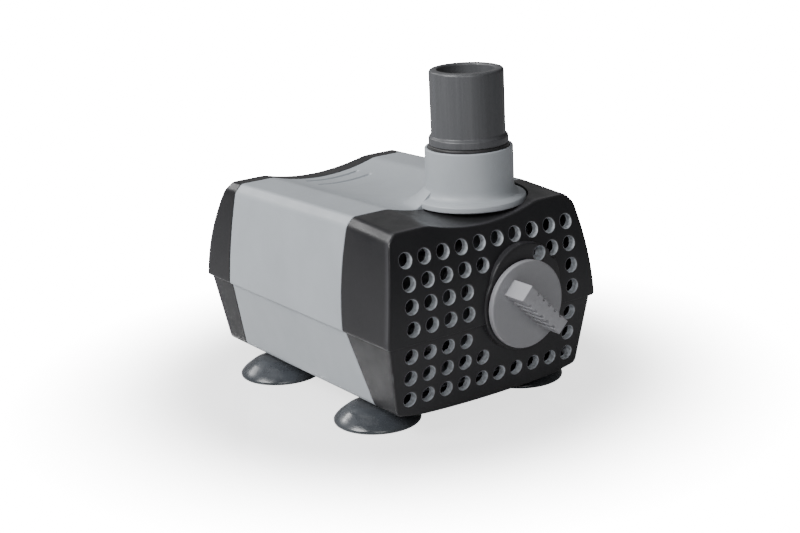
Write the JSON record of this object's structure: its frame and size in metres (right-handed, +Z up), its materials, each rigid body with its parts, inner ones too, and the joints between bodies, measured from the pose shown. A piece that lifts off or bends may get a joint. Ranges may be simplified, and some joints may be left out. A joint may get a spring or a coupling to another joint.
{
  "type": "fountain submersible pump",
  "caption": "Small submersible fountain pump with a perforated strainer cover, flow dial, top outlet nozzle and suction-cup feet.",
  "frame": {"origin": "on the floor plane under the suction cups, below the centre of the bounding box", "axes": "+Z up along the outlet, -Y towards the strainer face and dial, +X to the right seen from the front"},
  "size_m": [0.0746, 0.1084, 0.092],
  "materials": {
    "cover_black": "satin moulded ABS",
    "housing_grey": "satin moulded ABS",
    "nozzle_grey": "satin moulded ABS",
    "dial_grey": "satin moulded ABS",
    "cup_rubber": "soft rubber",
    "seal_rubber": "soft rubber",
    "inner_plastic": "moulded glass-filled plastic",
    "impeller_plastic": "moulded acetal",
    "ferrite": "ground ferrite magnet",
    "ceramic": "polished ceramic shaft",
    "steel_laminations": "stacked sheet steel",
    "copper": "enamelled copper wire",
    "screw_steel": "stainless screws",
    "resin": "cast epoxy"
  },
  "bodies": {
    "housing": {"upper_housing": "housing_grey", "outlet_collar": "housing_grey", "lower_housing": "housing_grey", "rear_cap": "cover_black", "pump_casing": "inner_plastic", "chamber_cover": "inner_plastic", "chamber_seal": "seal_rubber", "casing_screws": "screw_steel", "shaft": "ceramic", "front_bushing": "seal_rubber", "rear_bushing": "seal_rubber", "motor_case": "inner_plastic", "stator_core": "steel_laminations", "upper_bobbin": "impeller_plastic", "lower_bobbin": "impeller_plastic", "upper_winding": "copper", "lower_winding": "copper", "potting": "resin", "cable_gland": "seal_rubber", "suction_cup_front_left": "cup_rubber", "suction_cup_front_right": "cup_rubber", "suction_cup_rear_left": "cup_rubber", "suction_cup_rear_right": "cup_rubber"},
    "strainer": {"front_cover": "cover_black"},
    "dial": {"flow_dial": "dial_grey", "throttle_gate": "inner_plastic"},
    "rotor": {"impeller": "impeller_plastic", "rotor_magnet": "ferrite"},
    "nozzle": {"outlet_nozzle": "nozzle_grey", "nozzle_seal": "seal_rubber"}
  },
  "joints": [
    {"name": "cover_pull", "type": "slide", "parent": "housing", "child": "strainer", "axis": [0, -1, 0], "range_m": [0, 0.035]},
    {"name": "dial_turn", "type": "hinge", "parent": "strainer", "child": "dial", "pos_m": [0.009, -0.04425, 0.03065], "axis": [0, -1, 0], "range_deg": [-45, 45]},
    {"name": "rotor_spin", "type": "hinge", "parent": "housing", "child": "rotor", "pos_m": [0.009, -0.02315, 0.03065], "axis": [0, -1, 0], "continuous": true},
    {"name": "nozzle_pull", "type": "slide", "parent": "housing", "child": "nozzle", "axis": [0, 0, 1], "range_m": [0, 0.014]}
  ]
}
